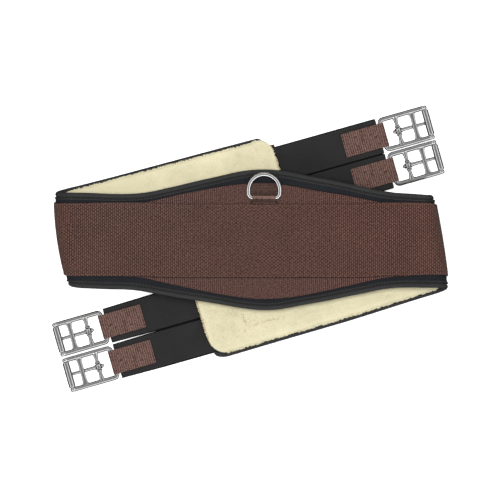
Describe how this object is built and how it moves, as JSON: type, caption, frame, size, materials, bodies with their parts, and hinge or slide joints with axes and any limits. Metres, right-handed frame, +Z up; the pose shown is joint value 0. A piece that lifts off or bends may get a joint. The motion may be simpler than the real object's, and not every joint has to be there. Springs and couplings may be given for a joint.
{
  "type": "saddle girth",
  "caption": "Long saddle girth with a fleece lining, a wide brown webbing strap and elastics with roller buckles at both ends, folded twice for storage.",
  "frame": {"origin": "middle of the folded girth's footprint, on the ground", "axes": "+X along the belly strap towards the fold whose buckles are at -X, +Y towards the edge with the ring, +Z up from the ground; the strap's outer face is up on the belly"},
  "size_m": [0.4151, 0.3007, 0.0316],
  "materials": {
    "brown_webbing": "matt plain-woven dark brown webbing",
    "ribbed_cloth": "matt dark brown cloth with fine ribs",
    "black_cloth": "smooth black cloth with a slight sheen",
    "foam": "closed-cell foam",
    "fleece": "cream fleece",
    "black_elastic": "matt black ribbed elastic",
    "steel": "polished stainless steel"
  },
  "bodies": {
    "girth": {"main_strap": "brown_webbing", "flare_panel": "ribbed_cloth", "outer_shell": "black_cloth", "foam_core": "foam", "fleece_lining": "fleece", "edge_binding_upper": "black_cloth", "edge_binding_lower": "black_cloth", "ring_keeper": "brown_webbing", "elastic_right_upper": "black_elastic", "elastic_right_lower": "black_elastic", "elastic_left_upper": "black_elastic", "elastic_left_lower": "black_elastic"},
    "ring": {"d_ring": "steel"},
    "webbing_right_upper": {"chape_right_upper": "brown_webbing"},
    "buckle_right_upper": {"buckle_frame_right_upper": "steel", "roller_pin_right_upper": "steel"},
    "roller_right_upper": {"roller_right_upper": "steel"},
    "tongue_right_upper": {"tongue_right_upper": "steel"},
    "webbing_right_lower": {"chape_right_lower": "brown_webbing"},
    "buckle_right_lower": {"buckle_frame_right_lower": "steel", "roller_pin_right_lower": "steel"},
    "roller_right_lower": {"roller_right_lower": "steel"},
    "tongue_right_lower": {"tongue_right_lower": "steel"},
    "webbing_left_upper": {"chape_left_upper": "brown_webbing"},
    "buckle_left_upper": {"buckle_frame_left_upper": "steel", "roller_pin_left_upper": "steel"},
    "roller_left_upper": {"roller_left_upper": "steel"},
    "tongue_left_upper": {"tongue_left_upper": "steel"},
    "webbing_left_lower": {"chape_left_lower": "brown_webbing"},
    "buckle_left_lower": {"buckle_frame_left_lower": "steel", "roller_pin_left_lower": "steel"},
    "roller_left_lower": {"roller_left_lower": "steel"},
    "tongue_left_lower": {"tongue_left_lower": "steel"}
  },
  "joints": [
    {"name": "ring_swing", "type": "hinge", "parent": "girth", "child": "ring", "pos_m": [0.015, 0.0527, 0.0281], "axis": [1, 0, 0], "range_deg": [0, 140]},
    {"name": "stretch_right_upper", "type": "slide", "parent": "girth", "child": "webbing_right_upper", "axis": [0.9627, 0.2706, 0], "range_m": [0, 0.03], "stiffness_N_per_m": 2000},
    {"name": "buckle_swing_right_upper", "type": "hinge", "parent": "webbing_right_upper", "child": "buckle_right_upper", "pos_m": [0.13988, 0.11884, 0.00375], "axis": [-0.2706, 0.9627, 0], "range_deg": [-80, 80]},
    {"name": "tongue_swing_right_upper", "type": "hinge", "parent": "buckle_right_upper", "child": "tongue_right_upper", "pos_m": [0.15583, 0.12332, 0.00476], "axis": [-0.2706, 0.9627, 0], "range_deg": [0, 105]},
    {"name": "roller_turn_right_upper", "type": "hinge", "parent": "buckle_right_upper", "child": "roller_right_upper", "pos_m": [0.18668, 0.13199, 0.00672], "axis": [-0.2706, 0.9627, 0], "continuous": true},
    {"name": "stretch_right_lower", "type": "slide", "parent": "girth", "child": "webbing_right_lower", "axis": [0.9627, 0.2706, 0], "range_m": [0, 0.03], "stiffness_N_per_m": 2000},
    {"name": "buckle_swing_right_lower", "type": "hinge", "parent": "webbing_right_lower", "child": "buckle_right_lower", "pos_m": [0.15011, 0.08245, 0.00375], "axis": [-0.2706, 0.9627, 0], "range_deg": [-80, 80]},
    {"name": "tongue_swing_right_lower", "type": "hinge", "parent": "buckle_right_lower", "child": "tongue_right_lower", "pos_m": [0.16606, 0.08693, 0.00476], "axis": [-0.2706, 0.9627, 0], "range_deg": [0, 105]},
    {"name": "roller_turn_right_lower", "type": "hinge", "parent": "buckle_right_lower", "child": "roller_right_lower", "pos_m": [0.19691, 0.0956, 0.00672], "axis": [-0.2706, 0.9627, 0], "continuous": true},
    {"name": "stretch_left_upper", "type": "slide", "parent": "girth", "child": "webbing_left_upper", "axis": [-0.9617, -0.274, 0], "range_m": [0, 0.03], "stiffness_N_per_m": 2000},
    {"name": "buckle_swing_left_upper", "type": "hinge", "parent": "webbing_left_upper", "child": "buckle_left_upper", "pos_m": [-0.15281, -0.08201, 0.00375], "axis": [0.274, -0.9617, 0], "range_deg": [-80, 80]},
    {"name": "tongue_swing_left_upper", "type": "hinge", "parent": "buckle_left_upper", "child": "tongue_left_upper", "pos_m": [-0.16874, -0.08655, 0.00476], "axis": [0.274, -0.9617, 0], "range_deg": [0, 105]},
    {"name": "roller_turn_left_upper", "type": "hinge", "parent": "buckle_left_upper", "child": "roller_left_upper", "pos_m": [-0.19956, -0.09533, 0.00672], "axis": [0.274, -0.9617, 0], "continuous": true},
    {"name": "stretch_left_lower", "type": "slide", "parent": "girth", "child": "webbing_left_lower", "axis": [-0.9617, -0.274, 0], "range_m": [0, 0.03], "stiffness_N_per_m": 2000},
    {"name": "buckle_swing_left_lower", "type": "hinge", "parent": "webbing_left_lower", "child": "buckle_left_lower", "pos_m": [-0.14223, -0.11914, 0.00375], "axis": [0.274, -0.9617, 0], "range_deg": [-80, 80]},
    {"name": "tongue_swing_left_lower", "type": "hinge", "parent": "buckle_left_lower", "child": "tongue_left_lower", "pos_m": [-0.15817, -0.12368, 0.00476], "axis": [0.274, -0.9617, 0], "range_deg": [0, 105]},
    {"name": "roller_turn_left_lower", "type": "hinge", "parent": "buckle_left_lower", "child": "roller_left_lower", "pos_m": [-0.18898, -0.13245, 0.00672], "axis": [0.274, -0.9617, 0], "continuous": true}
  ]
}
